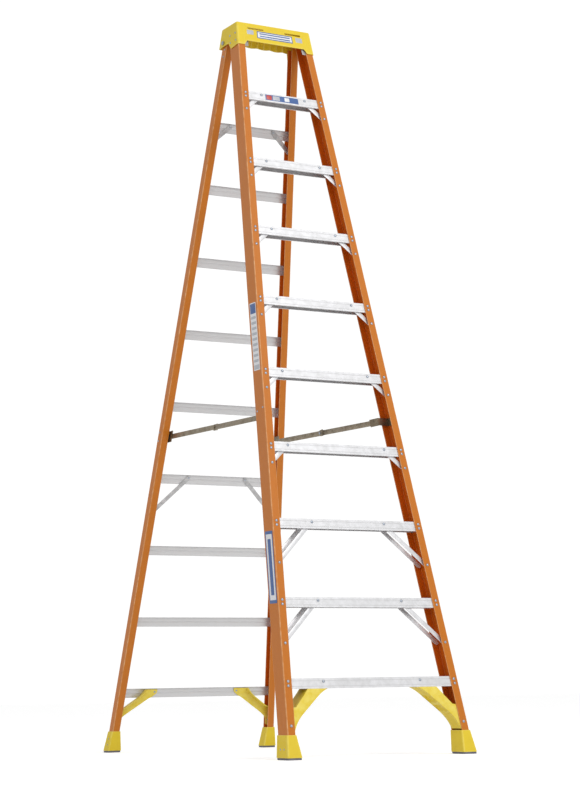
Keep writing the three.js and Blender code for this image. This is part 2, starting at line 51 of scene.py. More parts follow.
MM = 0.001
LEAN = np.radians(14)
SLOPE = np.tan(LEAN)
TAPER = 0.0767
CAP_TOP = 3048 * np.cos(LEAN) + 7
PITCH = 304.8 * np.cos(LEAN)
STEP_COUNT = 9
FIRST_STEP_TOP = 287
FIRST_BAR_TOP = 262.7
LAST_BAR_RISE = 262 * np.cos(LEAN)
BASE_SPREAD = 1545.4
FLANGE = 32
WALL = 3.6
GAP = 0.3
STEP_HEIGHT = 37.5
STEP_SKIN = 2.2
STEP_LIP = 7
BAR_HEIGHT = 38
BAR_SKIN = 2.4
BAR_LIP = 7
STRAP_THICK = 2.4
PAD_THICK = 7
BOOT_TOP = 87
HINGE_HEIGHT = 2900
CAP_BASE = CAP_TOP - 108
CAP_WALL = 3.6


class Stand:
    """One of the two frames: half its width at the floor, its rails' depth, their front face and lean."""

    def __init__(self, body, half, depth, face, slope):
        self.body = body
        self.half = half
        self.depth = depth / np.cos(LEAN)
        self.face = face
        self.slope = slope

    def face_at(self, height):
        return self.face + self.slope * height

    def web_at(self, height):
        return self.half - TAPER * height

    def lean(self, points):
        """Shears points back by the lean times their height and draws them inward by the taper."""
        out = np.array(points, float)
        out[..., 0] -= np.sign(out[..., 0]) * TAPER * out[..., 2]
        out[..., 1] += self.face_at(out[..., 2])
        return out

    def lean_across(self, points, end):
        """As lean, for a piece that spans the ladder to `end` each side: the taper is shared along it."""
        out = np.array(points, float)
        out[..., 0] *= 1 - TAPER * out[..., 2] / end
        out[..., 1] += self.face_at(out[..., 2])
        return out


REAR_DEPTH = 38
FRONT_FACE = -(BASE_SPREAD + REAR_DEPTH / np.cos(LEAN)) / 2
FRONT = Stand("front_frame", 395.15, 71, FRONT_FACE, SLOPE)
REAR = Stand("rear_frame", 391.9, REAR_DEPTH, FRONT_FACE + BASE_SPREAD, -SLOPE)
SIDES = {"right": 1, "left": -1}


def step_top(number):
    return FIRST_STEP_TOP + (number - 1) * PITCH


def bar_top(number):
    top = FIRST_BAR_TOP + (min(number, 8) - 1) * PITCH
    return top + LAST_BAR_RISE if number == 9 else top


# ---- outlines: closed rings of points in a plane ----


def unit(vectors):
    return vectors / np.linalg.norm(vectors, axis=-1, keepdims=True)


def rounded(corners, radii, arc_points=4, support=0.4):
    """A polygon with each corner turned into an arc that touches both its sides.

    A corner at angle a with radius r is cut back by r / tan(a / 2) along each side. The arc's points go
    round its centre in equal steps, and a point just before and just after each arc keeps flats flat.
    """
    corners = np.array(corners, float)
    radii = np.broadcast_to(np.array(radii, float), (len(corners),))
    ring = []
    for here, before, after, radius in zip(
        corners, np.roll(corners, 1, 0), np.roll(corners, -1, 0), radii
    ):
        to_before, to_after = unit(before - here), unit(after - here)
        angle = np.arccos(np.clip(to_before @ to_after, -1, 1))
        back = radius / np.tan(angle / 2)
        centre = here + unit(to_before + to_after) * radius / np.sin(angle / 2)
        start = here + to_before * back - centre
        sweep = (np.pi - angle) * np.sign(to_after[0] * to_before[1] - to_after[1] * to_before[0])
        turn = np.linspace(0, sweep, arc_points)
        arc = centre + np.stack(
            [
                start[0] * np.cos(turn) - start[1] * np.sin(turn),
                start[0] * np.sin(turn) + start[1] * np.cos(turn),
            ],
            1,
        )
        lead = here + to_before * (back + support)
        tail = here + to_after * (back + support)
        ring.append(np.vstack([lead, arc, tail]))
    return np.vstack(ring)


def rounded_box(left, right, low, high, radius, arc_points):
    """A rectangle with every corner rounded alike."""
    return rounded([(left, low), (right, low), (right, high), (left, high)], radius, arc_points)


def inset(ring, distance):
    """The ring moved inward by a distance along the mean of its two sides' normals at each point."""
    along = unit(np.roll(ring, -1, 0) - ring)
    area = np.sum(ring[:, 0] * np.roll(ring[:, 1], -1) - ring[:, 1] * np.roll(ring[:, 0], -1))
    inward = np.stack([-along[:, 1], along[:, 0]], 1) * np.sign(area)
    mean = inward + np.roll(inward, 1, 0)
    mean /= np.sum(mean * inward, 1)[:, None]
    return ring + mean * distance


def round_end_strip(start, end, start_radius, end_radius, arc_points=9):
    """The outline of a strip between two points, with a half circle round each."""
    start, end = np.array(start, float), np.array(end, float)
    heading = np.arctan2(*(end - start)[::-1])
    turn = np.linspace(-np.pi / 2, np.pi / 2, arc_points)
    far = end + end_radius * np.stack([np.cos(heading + turn), np.sin(heading + turn)], 1)
    near = start - start_radius * np.stack([np.cos(heading + turn), np.sin(heading + turn)], 1)
    return np.vstack([far, near])


# ---- meshes ----


def edge_wear_and_light(grid):
    """How far each point of a grid lies on an edge, from 0 on a flat to 1 on an edge. It marks rubbed
    wear, and also a painted highlight on the fibreglass corners and painted shade on the rear bars.

    Round the ring it is the sine of the outward turn there, over 0.2. Along the rows, an edge is where
    rows lie less than 1.5 mm apart.
    """
    ahead = np.roll(grid, -1, 1) - grid
    ahead /= np.maximum(np.linalg.norm(ahead, axis=2), 1e-9)[..., None]
    turn = np.cross(np.roll(ahead, 1, 1), ahead)
    path = np.gradient(grid.mean(1), axis=0)
    path /= np.maximum(np.linalg.norm(path, axis=1), 1e-9)[:, None]
    outward = np.clip(np.einsum("rpk,rk->rp", turn, path) / 0.2, 0, 1)
    close = np.linalg.norm(np.diff(grid, axis=0), axis=2).mean(1) < 1.5
    rim = np.concatenate([close, [False]]) | np.concatenate([[False], close])
    return np.maximum(outward, rim[:, None])


def lay_mesh(name, points, faces, uvs=None, wear_and_edge_light=None):
    """Puts points in millimetres and lists of corners into a mesh in metres."""
    mesh = bpy.data.meshes.new(name)
    mesh.from_pydata((points.reshape(-1, 3) * MM).tolist(), [], faces)
    if uvs is not None:
        layer = mesh.uv_layers.new(name="along")
        layer.data.foreach_set("uv", np.asarray(uvs, np.float32).ravel())
    if wear_and_edge_light is not None:
        wear_and_light_layer = mesh.attributes.new("wear_and_edge_light", "FLOAT", "POINT")
        wear_and_light_layer.data.foreach_set("value", np.asarray(wear_and_edge_light, np.float32).ravel())
    mesh.validate()
    mesh.update()
    return mesh


def grid_faces(rows, ring):
    """The quads between successive rings of a closed grid, and the two end faces that shut it."""
    row, place = np.meshgrid(np.arange(rows - 1), np.arange(ring), indexing="ij")
    beside = (place + 1) % ring
    quads = np.stack(
        [row * ring + place, row * ring + beside, (row + 1) * ring + beside, (row + 1) * ring + place], -1
    )
    ends = [list(range(ring))[::-1], list(range((rows - 1) * ring, rows * ring))]
    return quads.reshape(-1, 4).tolist() + ends


def grid_uvs(grid):
    """Distance round the ring and distance along the rows, in metres, at each quad's four corners."""
    rows, ring = grid.shape[:2]
    round_steps = np.linalg.norm(np.roll(grid, -1, 1) - grid, axis=2).mean(0)
    round_way = np.concatenate([[0], np.cumsum(round_steps)]) * MM
    along_steps = np.linalg.norm(np.diff(grid, axis=0), axis=2).mean(1)
    along = np.concatenate([[0], np.cumsum(along_steps)]) * MM
    row, place = np.meshgrid(np.arange(rows - 1), np.arange(ring), indexing="ij")
    corners = [(row, place), (row, place + 1), (row + 1, place + 1), (row + 1, place)]
    quads = np.stack([np.stack([round_way[p], along[r]], -1) for r, p in corners], -2)
    ends = np.stack([grid[0, ::-1, :2], grid[-1, :, :2]]) * MM
    return np.vstack([quads.reshape(-1, 2), ends.reshape(-1, 2)])


def linked(name, data):
    """A new object in the scene that shows the data."""
    made = bpy.data.objects.new(name, data)
    bpy.context.scene.collection.objects.link(made)
    return made


def place_piece(mesh, look, body, nodes=(), smooth=34):
    """Links a mesh as a piece that rides on a body and stands for the named nodes."""
    mesh.materials.append(look)
    mesh.shade_smooth()
    mesh.set_sharp_from_angle(angle=np.radians(smooth))
    piece = linked(mesh.name, mesh)
    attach(piece, body)
    if nodes:
        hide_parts(*nodes)
    return piece


def shut(grid):
    """The grid with its rings turned, if need be, so that the closed surface faces outwards."""
    centre = grid.mean(1, keepdims=True)
    across = np.cross(grid - centre, np.roll(grid, -1, 1) - centre).sum(1)
    along = np.gradient(centre[:, 0], axis=0)
    return grid if np.sum(across * along) > 0 else grid[:, ::-1]


def carried(name, grid, look, body, nodes=(), smooth=34):
    """A closed piece from a grid of rings: one ring of points for each place along its path."""
    grid = shut(grid)
    mesh = lay_mesh(name, grid, grid_faces(*grid.shape[:2]), grid_uvs(grid), edge_wear_and_light(grid))
    return place_piece(mesh, look, body, nodes, smooth)


def pair(name, grid, look, body, node=None, smooth=34):
    """The right-hand piece and its mirror image in the ladder's middle plane."""
    for side, sign in SIDES.items():
        nodes = (f"{node}_{side}",) if node else ()
        carried(f"{name}_{side}", grid * [sign, 1, 1], look, body, nodes, smooth)


def slab(ring, back, front, edge, order):
    """An outline given a thickness, its two rims rounded by an edge radius.

    The outline is repeated at depths from back to front. Near each rim at distance d it is inset by
    edge - sqrt(edge^2 - (edge - d)^2), a quarter circle. `order` says which axes its plane holds.
    """
    turn = np.linspace(0, np.pi / 2, 4)
    depth = edge * (1 - np.cos(turn))
    cut = edge * (1 - np.sin(turn))
    depths = np.concatenate([back + depth, (front - depth)[::-1]])
    insets = np.concatenate([cut, cut[::-1]])
    return np.array([np.insert(inset(ring, gone), order, at, 1) for at, gone in zip(depths, insets)])


ACROSS, BACK, UP = 0, 1, 2


def merged_rounds(name, centres, normals, profile, look, body):
    """Many small turned shapes as one mesh, such as rivet heads.

    `profile` is (radius, height) from the rim to the middle. Each of its points goes round in equal
    steps, in the plane square to the shape's own normal.
    """
    centres = np.asarray(centres, float)
    normals = unit(np.asarray(normals, float))
    helper = np.where(np.abs(normals[:, 2:]) < 0.9, [[0.0, 0, 1]], [[1.0, 0, 0]])
    first = unit(np.cross(helper, normals))
    second = np.cross(normals, first)
    radius, height = np.array(profile, float).T
    sides = 12
    turn = np.arange(sides) * 2 * np.pi / sides
    ring = first[:, None] * np.cos(turn)[None, :, None] + second[:, None] * np.sin(turn)[None, :, None]
    rows = len(radius)
    points = (
        centres[:, None, None]
        + ring[:, None] * radius[None, :, None, None]
        + normals[:, None, None] * height[None, :, None, None]
    )
    faces = [
        [start + corner for corner in face]
        for start in range(0, len(centres) * rows * sides, rows * sides)
        for face in grid_faces(rows, sides)
    ]
    mesh = lay_mesh(name, points, faces)
    return place_piece(mesh, look, body, smooth=50)


# ---- finishes ----


class Look:
    """A node material that is built up from a Principled shader."""

    def __init__(self, name):
        self.material = bpy.data.materials.new(name)
        self.material.use_nodes = True
        self.tree = self.material.node_tree
        self.shader = self.tree.nodes["Principled BSDF"]

    def node(self, kind, **settings):
        made = self.tree.nodes.new(kind)
        for key, value in settings.items():
            setattr(made, key, value)
        return made

    def join(self, output, socket):
        self.tree.links.new(output, socket)

    def value(self, name, number):
        self.shader.inputs[name].default_value = number

    def pattern(self, scale, detail=4, stretch=(1, 1, 1), source="Object", roughness=0.55):
        """Fractal noise on object or UV coordinates, drawn out by the stretch."""
        place = self.node("ShaderNodeTexCoord")
        mapping = self.node("ShaderNodeMapping")
        mapping.inputs["Scale"].default_value = stretch
        noise = self.node("ShaderNodeTexNoise")
        noise.inputs["Scale"].default_value = scale
        noise.inputs["Detail"].default_value = detail
        noise.inputs["Roughness"].default_value = roughness
        self.join(place.outputs[source], mapping.inputs["Vector"])
        self.join(mapping.outputs[0], noise.inputs["Vector"])
        return noise.outputs["Fac"]

    def ramp(self, value, stops):
        """A colour that runs through the stops as the value goes from 0 to 1."""
        ramp = self.node("ShaderNodeValToRGB")
        points = ramp.color_ramp.elements
        while len(points) < len(stops):
            points.new(0.5)
        for point, (place, colour) in zip(points, stops):
            point.position = place
            point.color = (*colour, 1)
        self.join(value, ramp.inputs[0])
        return ramp.outputs[0]

    def spread(self, value, low, high, start=0.3, end=0.7):
        """The value's middle range stretched to run from low to high."""
        scale = self.node("ShaderNodeMapRange")
        for socket, number in zip(scale.inputs[1:5], (start, end, low, high)):
            socket.default_value = number
        self.join(value, scale.inputs[0])
        return scale.outputs[0]

    def blend(self, factor, first, second):
        """Two colours mixed by a factor; either may be a socket or a plain colour."""
        mix = self.node("ShaderNodeMix", data_type="RGBA")
        for socket, value in ((mix.inputs[0], factor), (mix.inputs[6], first), (mix.inputs[7], second)):
            if isinstance(value, tuple):
                socket.default_value = (*value, 1)
            else:
                self.join(value, socket)
        return mix.outputs[2]

    def edges(self, amount):
        """A mask for edges: the mesh's edge attribute, broken up by noise. It stands for rubbed wear, and
        for a painted highlight on the fibreglass and painted shade on the rear bars.
        """
        wear_and_edge_light = self.node("ShaderNodeAttribute", attribute_name="wear_and_edge_light")
        patchy = self.spread(self.pattern(45, 5), 0.15 * amount, amount)
        product = self.node("ShaderNodeMath", operation="MULTIPLY")
        self.join(wear_and_edge_light.outputs["Fac"], product.inputs[0])
        self.join(patchy, product.inputs[1])
        return product.outputs[0]

    def bump(self, height, strength, distance):
        bump = self.node("ShaderNodeBump")
        bump.inputs["Strength"].default_value = strength
        bump.inputs["Distance"].default_value = distance
        self.join(height, bump.inputs["Height"])
        self.join(bump.outputs[0], self.shader.inputs["Normal"])

    def colour(self, output):
        self.join(output, self.shader.inputs["Base Color"])

    def dullness(self, output):
        self.join(output, self.shader.inputs["Roughness"])


def fibreglass_look():
    """Orange pultruded resin: fine lengthwise glass strands under a smooth, slightly uneven gloss."""
    look = Look("orange_fibreglass")
    strands = look.pattern(9, 6, (160, 4, 1), "UV")
    blotches = look.pattern(3, 3)
    deep, plain, light = (0.49, 0.130, 0.004), (0.56, 0.165, 0.006), (0.61, 0.200, 0.012)
    grain = look.ramp(strands, [(0.3, deep), (0.52, plain), (0.8, light)])
    tone = look.blend(look.spread(blotches, 0.0, 0.35), grain, plain)
    # painted shade: the channel's inner faces, marked by the inside attribute, take a darker, redder
    # colour
    inside = look.node("ShaderNodeAttribute", attribute_name="inside")
    tone = look.blend(inside.outputs["Fac"], tone, (0.62, 0.118, 0.005))
    # pale edges: partly rubbed wear, partly a painted highlight along the rails' rounded corners
    look.colour(look.blend(look.edges(0.7), tone, (0.80, 0.50, 0.26)))
    look.dullness(look.spread(blotches, 0.27, 0.40))
    look.value("Specular IOR Level", 0.36)
    look.bump(strands, 0.08, 0.0006)
    return look.material


def aluminium_look(name, light, dark, edge, rough=(0.34, 0.5)):
    """Mill finish extrusion: fine drawing lines along its length, with faint oxide clouds."""
    look = Look(name)
    lines = look.pattern(12, 5, (240, 5, 1), "UV", 0.7)
    clouds = look.pattern(9, 4)
    drawn = look.ramp(lines, [(0.3, dark), (0.7, light)])
    body = look.blend(look.spread(clouds, 0.0, 0.4), drawn, tuple(0.9 * c for c in light))
    # edge colour: rubbed wear on the steps and brackets, painted shade on the rear bars and their straps
    look.colour(look.blend(look.edges(0.8), body, edge))
    look.dullness(look.spread(lines, *rough))
    look.value("Metallic", 0.45)
    look.bump(lines, 0.12, 0.0005)
    return look.material


def yellow_look():
    """Yellow moulding: a fine spark-eroded grain, slightly darker clouds and paler rubbed edges."""
    look = Look("yellow_moulding")
    grain = look.pattern(1400, 3)
    clouds = look.pattern(7, 5)
    tone = look.ramp(clouds, [(0.3, (0.72, 0.525, 0.018)), (0.7, (0.79, 0.59, 0.026))])
    look.colour(look.blend(look.edges(0.6), tone, (0.90, 0.78, 0.20)))
    look.dullness(look.spread(clouds, 0.38, 0.52))
    look.value("Specular IOR Level", 0.36)
    look.bump(grain, 0.18, 0.0005)
    return look.material


def rubber_look():
    """Grey moulded rubber, dusty, with a fine pebbled surface."""
    look = Look("grey_rubber")
    dust = look.pattern(40, 6)
    pebble = look.pattern(900, 2)
    look.colour(look.ramp(dust, [(0.3, (0.10, 0.10, 0.14)), (0.75, (0.22, 0.22, 0.27))]))
    look.dullness(look.spread(dust, 0.7, 0.95))
    look.bump(pebble, 0.35, 0.0006)
    return look.material


def bronze_look():
    """Olive bronze plating on steel: cloudy, with brighter rubbed edges and rolling marks."""
    look = Look("bronzed_steel")
    clouds = look.pattern(30, 6)
    marks = look.pattern(260, 3, (1, 0.06, 1))
    dark, plain, light = (0.13, 0.10, 0.065), (0.22, 0.175, 0.115), (0.30, 0.25, 0.18)
    tone = look.ramp(clouds, [(0.25, dark), (0.55, plain), (0.8, light)])
    look.colour(look.blend(look.edges(0.6), tone, (0.45, 0.40, 0.32)))
    look.dullness(look.spread(marks, 0.32, 0.5))
    look.value("Metallic", 0.8)
    look.bump(marks, 0.1, 0.0004)
    return look.material


def zinc_look():
    """Bright zinc on fasteners: faint spangle and fine scratches."""
    look = Look("zinc_plate")
    spangle = look.pattern(300, 4)
    look.colour(look.ramp(spangle, [(0.3, (0.26, 0.29, 0.34)), (0.7, (0.46, 0.50, 0.56))]))
    look.dullness(look.spread(spangle, 0.2, 0.4))
    look.value("Metallic", 0.9)
    look.bump(spangle, 0.15, 0.0003)
    return look.material


FIBREGLASS = fibreglass_look()
STEP_METAL = aluminium_look("step_aluminium", (0.61, 0.61, 0.615), (0.58, 0.58, 0.585), (0.80, 0.80, 0.82))
# the rear bars' darker edge colour along their convex edges is painted shade, standing for the shaded
# underside of each bar's top lip
BAR_METAL = aluminium_look("bar_aluminium", (0.66, 0.66, 0.665), (0.60, 0.60, 0.605), (0.30, 0.30, 0.30))
YELLOW = yellow_look()
RUBBER = rubber_look()
BRONZE = bronze_look()
ZINC = zinc_look()
DULL_METAL = aluminium_look(
    "dull_bracket", (0.27, 0.25, 0.24), (0.21, 0.195, 0.185), (0.38, 0.37, 0.36), (0.4, 0.55)
)

# ---- rails ----


def channel(stand):
    """The rail's section, in (x, y): a channel open towards the ladder's middle, its corners rounded."""
    outer = stand.half
    lip = stand.half - FLANGE
    inner = stand.half - WALL
    back = stand.depth
    corners = [
        (lip, 0), (outer, 0), (outer, back), (lip, back),
        (lip, back - WALL), (inner, back - WALL), (inner, WALL), (lip, WALL),
    ]
    return rounded(corners, [1.3, 3.2, 3.2, 1.3, 1.3, 2.4, 2.4, 1.3], 5)


def rail(stand, name, top):
    """The channel repeated at heights from inside the boot to the cap, leaned and drawn inward."""
    ring = channel(stand)
    heights = np.linspace(BOOT_TOP - 12, top, 9)
    grid = np.array([np.insert(ring, UP, height, 1) for height in heights])
    pair(f"{name}_skin", stand.lean(grid), FIBREGLASS, stand.body, name)
    paint_channel_shade(stand, name)


def paint_channel_shade(stand, name):
    """Marks the points on the channel's inner faces with 1, where the resin gets painted shade: a darker,
    redder colour.
    """
    for side in SIDES:
        mesh = bpy.data.objects[f"{name}_skin_{side}"].data
        points = np.empty(3 * len(mesh.vertices), np.float32)
        mesh.vertices.foreach_get("co", points)
        x, y, z = points.reshape(-1, 3).T / MM
        depth = y - stand.face_at(z)
        skin = WALL - 0.6
        # the inner faces of the channel, which get the painted shade
        inside = (np.abs(x) < stand.web_at(z) - skin) & (depth > skin) & (depth < stand.depth - skin)
        marks = mesh.attributes.new("inside", "FLOAT", "POINT")
        marks.data.foreach_set("value", inside.astype(np.float32))


rail(FRONT, "front_rail", CAP_TOP - CAP_WALL - 1)
rail(REAR, "rear_rail", HINGE_HEIGHT + 18)

# ---- steps and rear bars ----

STEP_FRONT = WALL + GAP
STEP_BACK = FRONT.depth - WALL - GAP


def step_section():
    """The step's section, in (y, z): a grooved tread with a skirt and a lip front and back.

    The tread's top is a row of flat ribs with shallow grooves between them. The front skirt carries two
    shallow drawing grooves.
    """
    ribs = 13
    pitch = (STEP_BACK - STEP_FRONT) / ribs
    groove = 1.0
    rib = [(0, 0), (0.68, 0), (0.74, -groove), (0.94, -groove)]
    starts = STEP_BACK - pitch * np.arange(ribs)
    tread = np.array([[(start - pitch * share, rise) for share, rise in rib] for start in starts])
    tread = tread.reshape(-1, 2)[:-2]
    tread[0, 0] -= 0.2
    skirt = [
        (0, 0), (0, -8), (0.5, -8.6), (0.5, -9.6), (0, -10.2), (0, -28), (0.5, -28.6), (0.5, -29.6),
        (0, -30.2), (0, -STEP_HEIGHT + 0.8), (0.8, -STEP_HEIGHT),
    ]
    lip = [
        (STEP_LIP, -STEP_HEIGHT), (STEP_LIP, -STEP_HEIGHT + STEP_SKIN),
        (STEP_SKIN, -STEP_HEIGHT + STEP_SKIN), (STEP_SKIN, -1.6 * STEP_SKIN),
    ]
    front = np.array(skirt + lip) + [STEP_FRONT, 0]
    back = np.array(lip[::-1] + skirt[:-3:-1]) * [-1, 1] + [STEP_BACK, 0]
    return np.vstack([tread, front, back])


BAR_BACK = REAR.depth - WALL - GAP
BAR_FACE = BAR_BACK - BAR_SKIN


def bar_section():
    """The rear bar's section, in (y, z): a web with one raised rib and a forward lip on top."""
    high, low, out = -BAR_HEIGHT * 0.42, -BAR_HEIGHT * 0.58, 1.2
    corners = [
        (BAR_BACK, -BAR_HEIGHT), (BAR_BACK, 0), (BAR_FACE - BAR_LIP, 0), (BAR_FACE - BAR_LIP, -BAR_SKIN),
        (BAR_FACE, -BAR_SKIN), (BAR_FACE, high), (BAR_FACE - out, high - out),
        (BAR_FACE - out, low + out), (BAR_FACE, low), (BAR_FACE, -BAR_HEIGHT),
    ]
    return rounded(corners, [0.6, 1.6, 0.9, 0.9, 0.8, 0.6, 0.6, 0.6, 0.6, 0.9], 3, 0.25)


def crosspieces(stand, section, height_of, name, part, metal, smooth):
    """A section drawn straight across between a frame's two webs, once for each of its levels."""
    end = stand.half - WALL - GAP
    for number in range(1, STEP_COUNT + 1):
        ring = section + [0, height_of(number)]
        grid = np.array([np.insert(ring, ACROSS, place, 1) for place in np.linspace(-end, end, 6)])
        node = f"{name}_{number}"
        leaned = stand.lean_across(grid, end)
        carried(f"{node}_{part}", leaned, metal, stand.body, (node,), smooth)


crosspieces(FRONT, step_section(), step_top, "step", "tread", STEP_METAL, 25)
crosspieces(REAR, bar_section(), bar_top, "rear_bar", "web", BAR_METAL, 34)

# ---- knee braces ----

SHORT = {"width": 19, "inward": 92, "down": 83}
LONG = {"width": 18, "inward": 170, "down": 168}
RIVET_DOWN = 12
RIVET_INWARD = 17
STRAP_FRONT = STEP_FRONT + STEP_LIP + GAP
STRAP_REAR = STEP_BACK - STEP_LIP - GAP - STRAP_THICK


def strap(stand, top, size, back, front):
    """A flat strip with round ends between its two rivets, with softened edges."""
    high = (stand.half - size["inward"], top - RIVET_DOWN)
    low = (stand.half - RIVET_INWARD, top - size["down"])
    ring = round_end_strip(high, low, size["width"] / 2, min(size["width"] / 2, 12))
    return stand.lean(slab(ring, back, front, 0.7, BACK))


def knee_braces():
    """Straps under the steps and two rear bars. Step 9's and the bars' have no node of their own."""
    for number in range(4, STEP_COUNT + 1):
        node = f"short_knee_brace_{number}" if number < STEP_COUNT else None
        grid = strap(FRONT, step_top(number), SHORT, STRAP_FRONT, STRAP_FRONT + STRAP_THICK)
        pair(f"short_strap_{number}", grid, STEP_METAL, "front_frame", node)
    for number in (2, 3):
        node = f"long_knee_brace_{number}"
        for place, depth, stands_for in (("front", STRAP_FRONT, node), ("rear", STRAP_REAR, None)):
            grid = strap(FRONT, step_top(number), LONG, depth, depth + STRAP_THICK)
            pair(f"long_strap_{place}_{number}", grid, STEP_METAL, "front_frame", stands_for)
    for number, size in ((4, LONG), (9, SHORT)):
        grid = strap(REAR, bar_top(number), size, BAR_FACE - 1 - STRAP_THICK, BAR_FACE - 1)
        pair(f"rear_strap_{number}", grid, BAR_METAL, "rear_frame")


knee_braces()

# ---- yellow braces ----


def resampled(points, count):
    """The closed line through the points, stepped round at equal distances."""
    closed = np.vstack([points, points[:1]])
    way = np.concatenate([[0], np.cumsum(np.linalg.norm(np.diff(closed, axis=0), axis=1))])
    stations = np.linspace(0, way[-1], count, endpoint=False)
    return np.stack([np.interp(stations, way, closed[:, axis]) for axis in (0, 1)], 1)


def bend(start, handle, end, count=10):
    """A parabola from start to end that leaves and arrives along the lines to its handle."""
    t = np.linspace(0, 1, count)[:, None]
    start, handle, end = (np.array(p, float) for p in (start, handle, end))
    return (1 - t) ** 2 * start + 2 * t * (1 - t) * handle + t**2 * end


def soft_step(value, low, high, blur):
    """0 outside the span and 1 inside it, with cubic ramps as wide as the blur."""
    rise = np.clip((value - low) / blur, 0, 1)
    fall = np.clip((high - value) / blur, 0, 1)
    both = rise * fall
    return both * both * (3 - 2 * both)


def bend_line(points, radius, aside):
    """An open line through the points, its corners cut by parabolas, moved aside along its normals."""
    ways = [points[:1]]
    for before, here, after in zip(points, points[1:], points[2:]):
        back, on = unit(before - here) * radius, unit(after - here) * radius
        ways.append(bend(here + back, here, here + on, 6))
    line = np.vstack(ways + [points[-1:]])
    along = unit(np.gradient(line, axis=0))
    return line + aside * np.stack([-along[:, 1], along[:, 0]], 1) * np.sign(along[:1, :1])


def arch_braces():
    """The deep curved band under the first step.

    Its outline is swept back through the step's depth. On the curved lower side the surface is sunk
    into two pockets, between a rim at the front, one at the back and a rib across the middle.
    """
    top = FIRST_STEP_TOP - STEP_HEIGHT - GAP
    web = FRONT.half - WALL - GAP
    lip = FRONT.half - FLANGE
    foot = BOOT_TOP + 5
    tip = bend((lip - 150, top), (lip - 128, top - 9), (lip - 108, top - 27))
    heel = bend((lip - 41, top - 89), (lip - 8, top - 120), (lip, foot))
    outer = [(web, foot), (web, top - 67), (lip - 12, top - 65), (lip - 45, top - 27), (lip - 67, top)]
    ring = resampled(np.vstack([outer, tip, heel]), 150)
    near = np.array([0, 0.004, 0.015, 0.05, 0.08, 0.1, 0.12, 0.2, 0.35])
    share = np.concatenate([near, [0.5, 0.65, 0.8, 0.88, 0.9, 0.92, 0.95, 0.985, 0.996, 1]])
    depths = STEP_FRONT + (STEP_BACK - STEP_FRONT) * share
    edge = 1.2 * np.array([1, 0.4, 0] + [0] * 13 + [0, 0.4, 1])
    across = soft_step(share, 0.06, 0.94, 0.05)
    along = (lip - ring[:, 0]) * 0.62 + (top - ring[:, 1]) * -0.78
    low_side = (ring[:, 1] < top - 8) & ((lip - ring[:, 0]) * 0.78 + (top - ring[:, 1]) * 0.62 > 68)
    sunk = np.maximum(soft_step(along, -52, -14, 8), soft_step(along, -6, 40, 8)) * low_side
    rows = []
    for depth, cut, hollow in zip(depths, edge, across):
        row = ring.copy()
        pulled = inset(ring, 1.0) - ring
        row += pulled * (cut + 6.5 * hollow * sunk)[:, None]
        rows.append(np.insert(row, BACK, depth, 1))
    pair("arch_brace_band", FRONT.lean(np.array(rows)), YELLOW, "front_frame", "arch_brace")


def corner_braces():
    """The flat rear brace: a thin plate, and a ridge standing forward along its upper edge."""
    top = FIRST_BAR_TOP
    web = REAR.half - WALL - GAP
    lip = REAR.half - FLANGE
    back = BAR_FACE - 1.2 - GAP
    under = top - BAR_SKIN - GAP - 1
    upper = np.array(
        [(lip - 158, under), (lip - 98, under), (lip - 78, top - 30), (lip - 6, top - 82), (web, top - 90)]
    )
    lower = [
        (web, top - 165), (lip + 4, top - 165), (lip + 2, top - 132), (lip - 20, top - 112),
        (lip - 122, top - 42), (lip - 136, top - 36), (lip - 156, top - 20),
    ]
    plate = rounded(np.vstack([upper, lower]), [3, 10, 10, 14, 1, 1, 8, 14, 14, 20, 10, 8], 5)
    grid = REAR.lean(slab(plate, back - 3, back, 0.8, BACK))
    pair("rear_corner_plate", grid, YELLOW, "rear_frame", "rear_corner_brace")
    ridge = upper[1:] - [0, 0.3]
    band = np.vstack([bend_line(ridge, 8, 0), bend_line(ridge, 8, -3)[::-1]])
    grid = REAR.lean(slab(band, WALL + 2, back - 0.5, 0.8, BACK))
    pair("rear_corner_ridge", grid, YELLOW, "rear_frame")


arch_braces()
corner_braces()

# ---- boots and pads ----


BOOT_WALL = 4
FLARE_OUT = 5.25
FLARE_IN = 15
FLARE_ALONG = 5
PANEL_SUNK = 1.6
PAD_INSET = 2


def boots(stand, name):
    """A moulded boot: a rounded block that flares towards the floor, with a collar and a sunk panel.

    Each row is the same rounded rectangle. Its faces move out linearly as the height falls. The outer
    face is sunk by a smooth step inside a panel.
    """
    lip = stand.half - FLANGE - BOOT_WALL
    outer = stand.half + BOOT_WALL
    front, back = -BOOT_WALL * 0.6, stand.depth + BOOT_WALL * 0.6
    ring = resampled(rounded_box(lip, outer, front, back, 4.5, 6), 120)
    height = BOOT_TOP - PAD_THICK
    rise = np.array([0, 0.3, 1.2, 4, 8, 12, 16, 30, 44, 56, 62, 66, 70, 74, 77, 79, 79.7, height])
    edge = np.interp(rise, [0, 0.3, 1.2, height - 1, height - 0.3, height], [1.2, 0.4, 0, 0, 0.4, 1.2])
    rows = []
    for up, cut in zip(rise, edge):
        row = inset(ring, cut)
        low = 1 - up / height
        outside = ring[:, 0] > stand.half - FLANGE / 2
        row[:, 0] += np.where(outside, FLARE_OUT * low, -FLARE_IN * low)
        row[:, 1] += np.sign(ring[:, 1] - stand.depth / 2) * FLARE_ALONG * low
        panel = soft_step(ring[:, 1], front + 9, back - 9, 3) * soft_step(np.array(up), 12, 66, 4)
        row[:, 0] -= np.where(ring[:, 0] > outer - 1, PANEL_SUNK * panel, 0)
        rows.append(np.insert(row, UP, up + PAD_THICK, 1))
    grid = stand.lean(np.array(rows))
    pair(f"{name}_boot_shell", grid, YELLOW, stand.body, f"{name}_boot")


